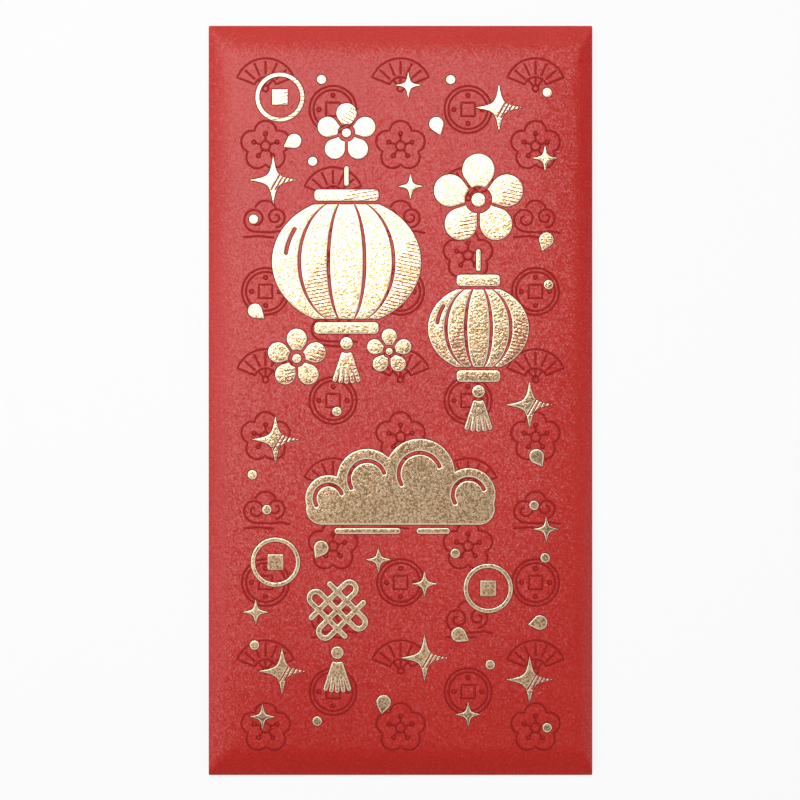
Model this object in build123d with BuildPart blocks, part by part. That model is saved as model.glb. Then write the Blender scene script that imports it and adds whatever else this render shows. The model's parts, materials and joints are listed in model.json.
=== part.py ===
from build123d import *
import os
from math import cos, radians, sin

os.makedirs("parts", exist_ok=True)

# A long lucky-money envelope, in millimetres. It lies on its back, printed front up (+Z),
# mouth and closing flap toward +Y, and z = 0 is the surface it rests on.
envelope_width = 88.0
envelope_height = 172.0
paper_thickness = 0.3
glue_thickness = 0.05
foil_thickness = 0.04
pocket_gap = 1.6

# Folded edges: a tight crease at the back, then a soft roll up to the flat of the front
crease_inner_radius = 0.15
roll_angle = 26.0

# Back panel, side seam and bottom seam
back_edge_setback = 0.8
mouth_setback = 2.0
mouth_corner_radius = 4.0
side_tab_width = 12.0
side_tab_end_setback = 6.0
side_tab_end_taper = 5.0
bottom_flap_depth = 18.0
bottom_flap_side_setback = 1.0
bottom_flap_taper = 8.0
bottom_flap_corner_radius = 3.0
seam_glue_inset = 2.0

# Closing flap and its crease
flap_depth = 34.0
flap_side_setback = 1.0
flap_taper = 6.0
flap_corner_radius = 7.0
hinge_setback = 0.25

# Foil design: stacked up from its motifs, then fitted to the front inside these margins
art_side_margin = 8.0
art_end_margin = 10.0
foil_gap = 0.8
side_band_width = 6.7
top_band_height = 7.9
bottom_band_height = 9.0
lantern_step_height = 15.2
knot_gap = 9.9

# Lanterns
large_lantern_half_width = 17.0
large_lantern_half_height = 14.5
small_lantern_half_width = 11.5
small_lantern_half_height = 9.8
lantern_mouth_share = 0.9
inner_gore_share = 0.22
outer_gore_share = 0.61
glint_share = 0.82
glint_start = 148
glint_sweep = 24
glint_width = 0.9
lantern_cap_share = 0.86
lantern_cap_height = 2.6
cap_corner_radius = 0.9
cord_width = 1.0
large_cord_length = 4.5
small_cord_length = 5.0
tassel_knot_radius = 1.4
tassel_strand_width = 0.9
tassel_strand_length = 7.0
tassel_strand_turn = 9.0

# Blossoms
large_blossom_radius = 10.5
medium_blossom_radius = 6.8
small_blossom_radius = 5.2
petal_gap = 0.7
blossom_eye_share = 0.3
stamen_share = 0.15

# Cloud: puffs as shares of the puff radius (across, up, size)
cloud_puff_radius = 8.0
cloud_base_length = 43.0
cloud_base_height = 7.2
cloud_base_drop_share = 0.5
curl_share = 0.6
curl_width = 0.9
cloud_puffs = [(-2.05, -0.2, 0.66), (-0.95, 0.35, 0.86), (0.55, 0.5, 1.0), (1.95, -0.1, 0.76)]
wind_line_height = 1.3
long_wind_line_length = 15.0
short_wind_line_length = 7.5

# Knot, coins and scatter
knot_ribbon_width = 1.2
knot_ribbon_gap = 1.8
coin_radius = 5.6
coin_line_width = 0.9
coin_hole_side = 2.6
large_sparkle_radius = 5.4
small_sparkle_radius = 3.0
sparkle_waist_share = 0.16
hatch_width = 0.35
hatch_gap = 0.6
hatch_turn = 60.0
falling_petal_length = 5.0
dot_radius = 1.05

# Where the smaller motifs sit, as shares of the design's half width and half height
knot_across = -0.4
coin_shares = [(0.556, -0.566), (-0.792, -0.487), (-0.764, 0.914)]
large_sparkle_shares = [
    (-0.806, 0.664),
    (0.625, 0.882),
    (0.819, -0.013),
    (-0.792, -0.118),
    (0.819, -0.842),
    (0.153, -0.776),
    (-0.75, -0.816),
]
small_sparkle_shares = [
    (0.05, 0.95),
    (0.917, 0.73),
    (0.064, 0.645),
    (0.925, -0.388),
    (-0.917, -0.638),
    (-0.875, -0.954),
    (0.153, -0.553),
    (0.43, -0.947),
    (-0.139, -0.48),
]
falling_petal_shares = [
    (-0.694, 0.776, 30),
    (0.236, 0.822, 110),
    (0.917, 0.474, 70),
    (-0.903, 0.263, 140),
    (0.875, -0.178, 120),
    (-0.514, -0.454, 60),
    (0.861, -0.671, 10),
    (0.389, -0.711, 150),
    (-0.111, -0.921, 80),
]
dot_shares = [
    (-0.5, 0.967),
    (0.319, 0.967),
    (0.931, 0.928),
    (-0.556, 0.72),
    (-0.931, 0.546),
    (0.939, 0.349),
    (-0.403, -0.033),
    (-0.939, -0.224),
    (-0.847, -0.329),
    (0.847, -0.316),
    (0.347, -0.461),
    (0.917, -0.474),
    (-0.925, -0.737),
    (0.569, -0.796),
    (-0.528, -0.967),
    (0.931, -0.987),
]

half_width = envelope_width / 2
half_height = envelope_height / 2
crease_outer_radius = crease_inner_radius + paper_thickness

# Levels of the stacked sheets
flap_top = paper_thickness
back_bottom = flap_top + glue_thickness
back_top = back_bottom + paper_thickness
tab_bottom = back_top + glue_thickness
front_bottom = back_top + pocket_gap
front_top = front_bottom + paper_thickness

# Section planes of the four edges: local x points outward, local y is up
right_plane = Plane.XZ
left_plane = Plane(origin=(0, 0, 0), x_dir=(-1, 0, 0), z_dir=(0, 1, 0))
top_plane = Plane.YZ
bottom_plane = Plane(origin=(0, 0, 0), x_dir=(0, -1, 0), z_dir=(-1, 0, 0))


def roll_radius(base):
    rise = front_top - base - crease_outer_radius * (1 + cos(radians(roll_angle)))
    return rise / (1 - cos(radians(roll_angle)))


def crease_centre(half_span, base):
    return (half_span - crease_outer_radius, base + crease_outer_radius)


def roll_centre(half_span, base):
    reach = (roll_radius(base) - crease_outer_radius) * sin(radians(roll_angle))
    return (half_span - crease_outer_radius - reach, front_top - roll_radius(base))


# Section of a tight crease, from the sheet behind round to the start of the roll
def crease_section(half_span, base):
    crease = crease_centre(half_span, base)
    with BuildSketch() as section:
        with BuildLine():
            outer_bend = CenterArc(crease, crease_outer_radius, 270, 180 - roll_angle)
            inner_bend = CenterArc(crease, crease_inner_radius, 270, 180 - roll_angle)
            Line(outer_bend @ 0, inner_bend @ 0)
            Line(outer_bend @ 1, inner_bend @ 1)
        make_face()
    return section.sketch


# Section of the soft roll, from the crease up to the flat of the front
def roll_section(half_span, base):
    roll = roll_centre(half_span, base)
    outer_radius = roll_radius(base)
    with BuildSketch() as section:
        with BuildLine():
            outer_roll = CenterArc(roll, outer_radius, 90 - roll_angle, roll_angle)
            Line(outer_roll @ 1, (roll[0], front_bottom))
            inner_roll = CenterArc(roll, outer_radius - paper_thickness, 90, -roll_angle)
            Line(inner_roll @ 1, outer_roll @ 0)
        make_face()
    return section.sketch


# Everything at or under the outer face of an edge, used to mitre the corners
def under_section(half_span, base):
    crease = crease_centre(half_span, base)
    roll = roll_centre(half_span, base)
    with BuildSketch() as section:
        with BuildLine():
            outer_crease = CenterArc(crease, crease_outer_radius, 0, 90 - roll_angle)
            outer_roll = CenterArc(roll, roll_radius(base), 90 - roll_angle, roll_angle)
            Line(outer_roll @ 1, (0, front_top))
            Line((0, front_top), (0, 0))
            Line((0, 0), (half_span, 0))
            Line((half_span, 0), outer_crease @ 0)
        make_face()
    return section.sketch


left_crease_section = crease_section(half_width, back_bottom)
right_crease_section = crease_section(half_width, tab_bottom)
bottom_crease_section = crease_section(half_height, 0)
left_roll_section = roll_section(half_width, back_bottom)
right_roll_section = roll_section(half_width, tab_bottom)
end_roll_section = roll_section(half_height, 0)
left_under = under_section(half_width, back_bottom)
right_under = under_section(half_width, tab_bottom)
end_under = under_section(half_height, 0)

left_flat_edge = roll_centre(half_width, back_bottom)[0]
right_flat_edge = roll_centre(half_width, tab_bottom)[0]
end_flat_edge = roll_centre(half_height, 0)[0]
side_crease = half_width - crease_outer_radius
end_crease = half_height - crease_outer_radius

with BuildPart() as width_limits:
    with BuildSketch(left_plane):
        add(left_under)
    extrude(amount=half_height, both=True)
    with BuildSketch(right_plane):
        add(right_under)
    extrude(amount=half_height, both=True)

with BuildPart() as height_limits:
    with BuildSketch(top_plane):
        add(end_under)
    extrude(amount=half_width, both=True)
    with BuildSketch(bottom_plane):
        add(end_under)
    extrude(amount=half_width, both=True)

# Flat of the front
with BuildPart() as front_panel:
    with BuildSketch(Plane.XY.offset(front_bottom)):
        with BuildLine():
            Polyline(
                (-left_flat_edge, -end_flat_edge),
                (right_flat_edge, -end_flat_edge),
                (right_flat_edge, end_flat_edge),
                (-left_flat_edge, end_flat_edge),
                close=True,
            )
        make_face()
    extrude(amount=paper_thickness)

# Rolled edges: top and bottom run corner to corner, the sides are mitred between them
with BuildPart() as top_roll:
    with BuildSketch(top_plane):
        add(end_roll_section)
    extrude(amount=half_width, both=True)
    add(width_limits.part, mode=Mode.INTERSECT)

with BuildPart() as bottom_roll:
    with BuildSketch(bottom_plane):
        add(end_roll_section)
    extrude(amount=half_width, both=True)
    add(width_limits.part, mode=Mode.INTERSECT)

with BuildPart() as left_roll:
    with BuildSketch(left_plane):
        add(left_roll_section)
    extrude(amount=end_crease, both=True)
    add(height_limits.part, mode=Mode.INTERSECT)
    add(top_roll.part, mode=Mode.SUBTRACT)
    add(bottom_roll.part, mode=Mode.SUBTRACT)

with BuildPart() as right_roll:
    with BuildSketch(right_plane):
        add(right_roll_section)
    extrude(amount=end_crease, both=True)
    add(height_limits.part, mode=Mode.INTERSECT)
    add(top_roll.part, mode=Mode.SUBTRACT)
    add(bottom_roll.part, mode=Mode.SUBTRACT)

# Creases: the side creases keep only their outer halves at both ends, where the sheet is relieved
with BuildPart() as bottom_crease:
    with BuildSketch(bottom_plane):
        add(bottom_crease_section)
    extrude(amount=half_width - bottom_flap_side_setback, both=True)

with BuildPart() as left_crease:
    with BuildSketch(left_plane):
        add(left_crease_section)
    extrude(amount=end_crease, both=True)
    add(height_limits.part, mode=Mode.INTERSECT)
    add(top_roll.part, mode=Mode.SUBTRACT)
    add(bottom_roll.part, mode=Mode.SUBTRACT)
    with BuildSketch():
        with Locations((-half_width, half_height), (-half_width, -half_height)):
            Rectangle(2 * mouth_setback, 2 * mouth_setback)
    extrude(amount=back_bottom + crease_outer_radius, mode=Mode.SUBTRACT)

with BuildPart() as right_crease:
    with BuildSketch(right_plane):
        add(right_crease_section)
    extrude(amount=end_crease, both=True)
    add(height_limits.part, mode=Mode.INTERSECT)
    add(top_roll.part, mode=Mode.SUBTRACT)
    add(bottom_roll.part, mode=Mode.SUBTRACT)
    with BuildSketch():
        with Locations((half_width, half_height), (half_width, -half_height)):
            Rectangle(2 * mouth_setback, 2 * mouth_setback)
    extrude(amount=tab_bottom + crease_outer_radius, mode=Mode.SUBTRACT)

# Back panel hangs on the left edge, stops short of the right edge and of the mouth,
# and is rounded at its free mouth corner
back_right = half_width - back_edge_setback
back_head = half_height - mouth_setback
back_foot = -end_crease + glue_thickness
with BuildPart() as back_panel:
    with BuildSketch(Plane.XY.offset(back_bottom)):
        with BuildLine():
            Polyline(
                (-side_crease, back_foot),
                (back_right, back_foot),
                (back_right, back_head),
                (-side_crease, back_head),
                close=True,
            )
        back_face = make_face()
        mouth_corners = back_face.vertices().group_by(Axis.Y)[-1]
        fillet(mouth_corners.sort_by(Axis.X)[-1], radius=mouth_corner_radius)
    extrude(amount=paper_thickness)

# Side tab hangs on the right edge and is glued inside the back panel
tab_inner = side_crease - side_tab_width
tab_root_reach = half_height - side_tab_end_setback
tab_tip_reach = tab_root_reach - side_tab_end_taper
with BuildPart() as side_seam_tab:
    with BuildSketch(Plane.XY.offset(tab_bottom)):
        with BuildLine():
            Polyline(
                (side_crease, -tab_root_reach),
                (side_crease, tab_root_reach),
                (tab_inner, tab_tip_reach),
                (tab_inner, -tab_tip_reach),
                close=True,
            )
        make_face()
    extrude(amount=paper_thickness)

with BuildPart() as side_seam_glue:
    with BuildSketch(Plane.XY.offset(back_top)):
        with BuildLine():
            Polyline(
                (back_right - seam_glue_inset, seam_glue_inset - tab_tip_reach),
                (back_right - seam_glue_inset, tab_tip_reach - seam_glue_inset),
                (tab_inner + seam_glue_inset, tab_tip_reach - seam_glue_inset),
                (tab_inner + seam_glue_inset, seam_glue_inset - tab_tip_reach),
                close=True,
            )
        make_face()
    extrude(amount=glue_thickness)

# Bottom flap hangs on the bottom edge and is glued over the back panel
bottom_root = half_width - bottom_flap_side_setback
bottom_tip = bottom_root - bottom_flap_taper
bottom_end = -end_crease + bottom_flap_depth
with BuildPart() as bottom_flap:
    with BuildSketch():
        with BuildLine():
            Polyline(
                (-bottom_root, -end_crease),
                (bottom_root, -end_crease),
                (bottom_tip, bottom_end),
                (-bottom_tip, bottom_end),
                close=True,
            )
        bottom_face = make_face()
        fillet(bottom_face.vertices().group_by(Axis.Y)[-1], radius=bottom_flap_corner_radius)
    extrude(amount=paper_thickness)

glue_root = bottom_tip - seam_glue_inset
with BuildPart() as bottom_seam_glue:
    with BuildSketch(Plane.XY.offset(flap_top)):
        with BuildLine():
            Polyline(
                (-glue_root, -end_crease + seam_glue_inset),
                (glue_root, -end_crease + seam_glue_inset),
                (glue_root, bottom_end - seam_glue_inset),
                (-glue_root, bottom_end - seam_glue_inset),
                close=True,
            )
        make_face()
    extrude(amount=glue_thickness)

# Crease of the closing flap: a paper hinge between the top edge and the flap
flap_root = half_width - flap_side_setback
hinge_line = crease_centre(half_height, 0)
flap_near = end_crease - hinge_setback
flap_far = end_crease - flap_depth
with BuildPart() as flap_crease:
    with BuildSketch(top_plane):
        with BuildLine():
            outer_bend = CenterArc(hinge_line, crease_outer_radius, 270, 180 - roll_angle)
            inner_bend = CenterArc(hinge_line, crease_inner_radius, 270, 180 - roll_angle)
            Line(outer_bend @ 1, inner_bend @ 1)
            Polyline(inner_bend @ 0, (flap_near, flap_top), (flap_near, 0), outer_bend @ 0)
        make_face()
    extrude(amount=flap_root, both=True)

with BuildPart() as closing_flap:
    with BuildSketch():
        with BuildLine():
            Polyline(
                (-flap_root, flap_near),
                (flap_root, flap_near),
                (flap_root - flap_taper, flap_far),
                (flap_taper - flap_root, flap_far),
                close=True,
            )
        flap_face = make_face()
        fillet(flap_face.vertices().group_by(Axis.Y)[0], radius=flap_corner_radius)
    extrude(amount=paper_thickness)

# Foil motifs, stamped on the flat of the front
foil_plane = Plane.XY.offset(front_top)


# Lantern body of five gores, parted by thin gaps and cut off flat at both mouths,
# with a highlight left open in the outer gore on the left
def lantern_gores(lantern_half_width, lantern_half_height):
    glint_arc = CenterArc((0, 0), glint_share * lantern_half_width, glint_start, glint_sweep)
    with BuildSketch() as gores:
        Ellipse(lantern_half_width, lantern_half_height)
        for share in (outer_gore_share, inner_gore_share):
            Ellipse(share * lantern_half_width + foil_gap, lantern_half_height, mode=Mode.SUBTRACT)
            Ellipse(share * lantern_half_width, lantern_half_height)
        Rectangle(
            2 * lantern_half_width,
            2 * lantern_mouth_share * lantern_half_height,
            mode=Mode.INTERSECT,
        )
        SlotArc(glint_arc, glint_width, mode=Mode.SUBTRACT)
    return gores.sketch


# A round-tipped petal that tapers to the middle of its flower
def blossom_petal(radius):
    slope = sin(radians(36))
    root = petal_gap / (2 * slope)
    bulb_at = (radius + root * slope) / (1 + slope)
    bulb = (bulb_at - root) * slope
    flank = bulb * cos(radians(36))
    with BuildSketch() as petal:
        with BuildLine():
            Line((root, 0), (bulb_at - bulb * slope, flank))
            ThreePointArc(
                (bulb_at - bulb * slope, flank),
                (bulb_at + bulb, 0),
                (bulb_at - bulb * slope, -flank),
            )
            Line((bulb_at - bulb * slope, -flank), (root, 0))
        make_face()
    return petal.sketch


def blossom_petals(radius):
    petal = blossom_petal(radius)
    with BuildSketch() as petals:
        with PolarLocations(0, 5, start_angle=90):
            add(petal)
        Circle(blossom_eye_share * radius, mode=Mode.SUBTRACT)
    return petals.sketch


def four_point_star(reach):
    waist = sparkle_waist_share * reach
    with BuildSketch() as star:
        with BuildLine():
            Bezier((reach, 0), (waist, waist), (waist, waist), (0, reach))
            Bezier((0, reach), (-waist, waist), (-waist, waist), (-reach, 0))
            Bezier((-reach, 0), (-waist, -waist), (-waist, -waist), (0, -reach))
            Bezier((0, -reach), (waist, -waist), (waist, -waist), (reach, 0))
        make_face()
    return star.sketch


large_gores = lantern_gores(large_lantern_half_width, large_lantern_half_height)
small_gores = lantern_gores(small_lantern_half_width, small_lantern_half_height)
large_petals = blossom_petals(large_blossom_radius)
medium_petals = blossom_petals(medium_blossom_radius)
small_petals = blossom_petals(small_blossom_radius)
loose_petal = Pos(-falling_petal_length / 2, 0) * blossom_petal(falling_petal_length)
large_star = four_point_star(large_sparkle_radius)
small_star = four_point_star(small_sparkle_radius)

# Heights of the motifs, from the middle of each lantern
large_mouth = lantern_mouth_share * large_lantern_half_height
small_mouth = lantern_mouth_share * small_lantern_half_height
large_cap_at = large_mouth + foil_gap + lantern_cap_height / 2
small_cap_at = small_mouth + foil_gap + lantern_cap_height / 2
large_cap_end = large_cap_at + lantern_cap_height / 2 + foil_gap
small_cap_end = small_cap_at + lantern_cap_height / 2 + foil_gap
large_cap_width = lantern_cap_share * large_lantern_half_width
small_cap_width = lantern_cap_share * small_lantern_half_width
strand_start = tassel_knot_radius + foil_gap
strand_middle = strand_start + tassel_strand_length / 2
first_strand_turn = -90 - 2 * tassel_strand_turn
tassel_reach = strand_start + tassel_strand_length
tassel_side = tassel_reach * sin(radians(2 * tassel_strand_turn)) + tassel_strand_width
knot_ribbon_pitch = knot_ribbon_width + knot_ribbon_gap
ribbon_length = 4 * knot_ribbon_pitch
knot_half_height = ribbon_length / 2 + knot_ribbon_pitch / 2
cloud_half_rise = 1.5 * cloud_puff_radius
cloud_base_drop = cloud_base_drop_share * cloud_puff_radius
cloud_foot = cloud_base_drop + cloud_base_height / 2

# The stack from top to bottom: blossom, lanterns with tassels, cloud, wind lines, knot with tassel
above_lantern = large_cap_end + large_cord_length + foil_gap + 2 * medium_blossom_radius + top_band_height
below_lantern = lantern_step_height + small_cap_end + tassel_knot_radius + tassel_reach + 2 * foil_gap
cloud_height = cloud_half_rise + cloud_foot + foil_gap + wind_line_height
knot_height = knot_gap + 2 * knot_half_height + foil_gap + tassel_knot_radius + tassel_reach
design_half_height = (above_lantern + below_lantern + cloud_height + knot_height + bottom_band_height) / 2
design_half_width = side_band_width + large_lantern_half_width + foil_gap + small_lantern_half_width
width_fit = (half_width - art_side_margin) / design_half_width
height_fit = (half_height - art_end_margin) / design_half_height
design_fit = min(width_fit, height_fit)


def on_design(across, up):
    return (across * design_half_width, up * design_half_height)


# Places of the main motifs
large_lantern_x = side_band_width + large_lantern_half_width - design_half_width
large_lantern_y = design_half_height - above_lantern
small_lantern_x = design_half_width - side_band_width - small_lantern_half_width
small_lantern_y = large_lantern_y - lantern_step_height
large_tassel_y = large_lantern_y - large_cap_end - tassel_knot_radius
small_tassel_y = small_lantern_y - small_cap_end - tassel_knot_radius
cloud_y = small_tassel_y - tassel_reach - 2 * foil_gap - cloud_half_rise
wind_line_y = cloud_y - cloud_foot - foil_gap - wind_line_height / 2
knot_x = knot_across * design_half_width
knot_y = wind_line_y - wind_line_height / 2 - knot_gap - knot_half_height
knot_tassel_y = knot_y - knot_half_height - foil_gap - tassel_knot_radius

with BuildPart() as foil_large_lantern:
    with BuildSketch(foil_plane):
        with Locations((large_lantern_x, large_lantern_y)):
            add(large_gores)
        scale(by=design_fit)
    extrude(amount=foil_thickness)

with BuildPart() as foil_small_lantern:
    with BuildSketch(foil_plane):
        with Locations((small_lantern_x, small_lantern_y)):
            add(small_gores)
        scale(by=design_fit)
    extrude(amount=foil_thickness)

with BuildPart() as foil_lantern_caps:
    with BuildSketch(foil_plane):
        with Locations(
            (large_lantern_x, large_lantern_y + large_cap_at),
            (large_lantern_x, large_lantern_y - large_cap_at),
        ):
            RectangleRounded(large_cap_width, lantern_cap_height, cap_corner_radius)
        with Locations(
            (small_lantern_x, small_lantern_y + small_cap_at),
            (small_lantern_x, small_lantern_y - small_cap_at),
        ):
            RectangleRounded(small_cap_width, lantern_cap_height, cap_corner_radius)
        scale(by=design_fit)
    extrude(amount=foil_thickness)

with BuildPart() as foil_lantern_cords:
    with BuildSketch(foil_plane):
        with Locations((large_lantern_x, large_lantern_y + large_cap_end + large_cord_length / 2)):
            SlotOverall(large_cord_length, cord_width, rotation=90)
        with Locations((small_lantern_x, small_lantern_y + small_cap_end + small_cord_length / 2)):
            SlotOverall(small_cord_length, cord_width, rotation=90)
        scale(by=design_fit)
    extrude(amount=foil_thickness)

# A round knot under each lantern and under the woven knot, with five strands fanned below it
tassel_spots = [
    (large_lantern_x, large_tassel_y),
    (small_lantern_x, small_tassel_y),
    (knot_x, knot_tassel_y),
]
with BuildPart() as foil_tassels:
    with BuildSketch(foil_plane):
        with Locations(*tassel_spots):
            Circle(tassel_knot_radius)
            with PolarLocations(strand_middle, 5, first_strand_turn, 4 * tassel_strand_turn, endpoint=True):
                SlotOverall(tassel_strand_length, tassel_strand_width)
        scale(by=design_fit)
    extrude(amount=foil_thickness)

# Blossoms: one over each lantern, one on either side of the large tassel
large_cord_end = large_lantern_y + large_cap_end + large_cord_length
small_cord_end = small_lantern_y + small_cap_end + small_cord_length
large_blossom_y = small_cord_end + foil_gap + large_blossom_radius
medium_blossom_y = large_cord_end + foil_gap + medium_blossom_radius
low_blossom_x = large_lantern_x - tassel_side - foil_gap - medium_blossom_radius
low_blossom_y = large_lantern_y - large_lantern_half_height - foil_gap - medium_blossom_radius
small_blossom_x = large_lantern_x + tassel_side + foil_gap + small_blossom_radius
small_blossom_y = large_lantern_y - large_lantern_half_height - foil_gap - small_blossom_radius
medium_spots = [(large_lantern_x, medium_blossom_y), (low_blossom_x, low_blossom_y)]
blossom_sizes = [
    (small_lantern_x, large_blossom_y, large_blossom_radius),
    (large_lantern_x, medium_blossom_y, medium_blossom_radius),
    (low_blossom_x, low_blossom_y, medium_blossom_radius),
    (small_blossom_x, small_blossom_y, small_blossom_radius),
]

with BuildPart() as foil_large_blossom:
    with BuildSketch(foil_plane):
        with Locations((small_lantern_x, large_blossom_y)):
            add(large_petals)
        scale(by=design_fit)
    extrude(amount=foil_thickness)

with BuildPart() as foil_medium_blossoms:
    with BuildSketch(foil_plane):
        with Locations(*medium_spots):
            add(medium_petals)
        scale(by=design_fit)
    extrude(amount=foil_thickness)

with BuildPart() as foil_small_blossom:
    with BuildSketch(foil_plane):
        with Locations((small_blossom_x, small_blossom_y)):
            add(small_petals)
        scale(by=design_fit)
    extrude(amount=foil_thickness)

with BuildPart() as foil_blossom_stamens:
    with BuildSketch(foil_plane):
        for x, y, radius in blossom_sizes:
            with Locations((x, y)):
                Circle(stamen_share * radius)
        scale(by=design_fit)
    extrude(amount=foil_thickness)

# Cloud of four puffs on a flat base, each puff with a curl cut through it
with BuildPart() as foil_cloud:
    with BuildSketch(foil_plane):
        with Locations((0, cloud_y - cloud_base_drop)):
            SlotOverall(cloud_base_length, cloud_base_height)
        for across, up, share in cloud_puffs:
            with Locations((across * cloud_puff_radius, cloud_y + up * cloud_puff_radius)):
                Circle(share * cloud_puff_radius)
        for across, up, share in cloud_puffs:
            curl = CenterArc((0, 0), curl_share * share * cloud_puff_radius, 20, 190, mode=Mode.PRIVATE)
            with Locations((across * cloud_puff_radius, cloud_y + up * cloud_puff_radius)):
                SlotArc(curl, curl_width, mode=Mode.SUBTRACT)
        scale(by=design_fit)
    extrude(amount=foil_thickness)

with BuildPart() as foil_wind_lines:
    with BuildSketch(foil_plane):
        with Locations((-long_wind_line_length / 2, wind_line_y)):
            SlotOverall(long_wind_line_length, wind_line_height)
        with Locations((short_wind_line_length, wind_line_y)):
            SlotOverall(short_wind_line_length, wind_line_height)
        scale(by=design_fit)
    extrude(amount=foil_thickness)

# Square knot woven of two sets of three ribbons, with loops where a ribbon turns back
loop_at = (ribbon_length - knot_ribbon_width) / 2
far_loop = CenterArc((loop_at, knot_ribbon_pitch / 2), knot_ribbon_pitch / 2, -90, 180)
near_loop = CenterArc((-loop_at, -knot_ribbon_pitch / 2), knot_ribbon_pitch / 2, 90, 180)
with BuildPart() as foil_knot:
    with BuildSketch(foil_plane):
        with Locations(*[Location((knot_x, knot_y, 0), (0, 0, turn)) for turn in (45, 135)]):
            with GridLocations(0, knot_ribbon_pitch, 1, 3):
                SlotOverall(ribbon_length, knot_ribbon_width)
            SlotArc(far_loop, knot_ribbon_width)
            SlotArc(near_loop, knot_ribbon_width)
        scale(by=design_fit)
    extrude(amount=foil_thickness)

with BuildPart() as foil_coins:
    with BuildSketch(foil_plane):
        with Locations(*[on_design(*share) for share in coin_shares]):
            Circle(coin_radius)
            Circle(coin_radius - coin_line_width, mode=Mode.SUBTRACT)
            Rectangle(coin_hole_side + coin_line_width, coin_hole_side + coin_line_width)
            Rectangle(coin_hole_side, coin_hole_side, mode=Mode.SUBTRACT)
        scale(by=design_fit)
    extrude(amount=foil_thickness)

# Sparkles, the larger ones hatched over their right halves
with BuildPart() as foil_large_sparkles:
    with BuildSketch(foil_plane):
        with Locations(*[on_design(*share) for share in large_sparkle_shares]):
            add(large_star)
            with Locations((large_sparkle_radius / 2, 0)):
                with GridLocations(hatch_width + hatch_gap, 0, 5, 1):
                    SlotOverall(large_sparkle_radius, hatch_width, rotation=hatch_turn, mode=Mode.SUBTRACT)
        scale(by=design_fit)
    extrude(amount=foil_thickness)

with BuildPart() as foil_small_sparkles:
    with BuildSketch(foil_plane):
        with Locations(*[on_design(*share) for share in small_sparkle_shares]):
            add(small_star)
        scale(by=design_fit)
    extrude(amount=foil_thickness)

with BuildPart() as foil_falling_petals:
    with BuildSketch(foil_plane):
        for across, up, turn in falling_petal_shares:
            with Locations(Location((*on_design(across, up), 0), (0, 0, turn))):
                add(loose_petal)
        scale(by=design_fit)
    extrude(amount=foil_thickness)

with BuildPart() as foil_dots:
    with BuildSketch(foil_plane):
        with Locations(*[on_design(*share) for share in dot_shares]):
            Circle(dot_radius)
        scale(by=design_fit)
    extrude(amount=foil_thickness)

pieces = {
    "front_panel": front_panel,
    "left_roll": left_roll,
    "right_roll": right_roll,
    "top_roll": top_roll,
    "bottom_roll": bottom_roll,
    "left_crease": left_crease,
    "right_crease": right_crease,
    "bottom_crease": bottom_crease,
    "back_panel": back_panel,
    "side_seam_tab": side_seam_tab,
    "side_seam_glue": side_seam_glue,
    "bottom_flap": bottom_flap,
    "bottom_seam_glue": bottom_seam_glue,
    "flap_crease": flap_crease,
    "closing_flap": closing_flap,
    "foil_large_lantern": foil_large_lantern,
    "foil_small_lantern": foil_small_lantern,
    "foil_lantern_caps": foil_lantern_caps,
    "foil_lantern_cords": foil_lantern_cords,
    "foil_tassels": foil_tassels,
    "foil_large_blossom": foil_large_blossom,
    "foil_medium_blossoms": foil_medium_blossoms,
    "foil_small_blossom": foil_small_blossom,
    "foil_blossom_stamens": foil_blossom_stamens,
    "foil_cloud": foil_cloud,
    "foil_wind_lines": foil_wind_lines,
    "foil_knot": foil_knot,
    "foil_coins": foil_coins,
    "foil_large_sparkles": foil_large_sparkles,
    "foil_small_sparkles": foil_small_sparkles,
    "foil_falling_petals": foil_falling_petals,
    "foil_dots": foil_dots,
}
for name, piece in pieces.items():
    piece.part.label = name
    export_step(piece.part, "parts/" + name + ".step")
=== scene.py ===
import bpy
import json
import math
import numpy as np
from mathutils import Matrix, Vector
from mathutils.geometry import delaunay_2d_cdt

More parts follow.
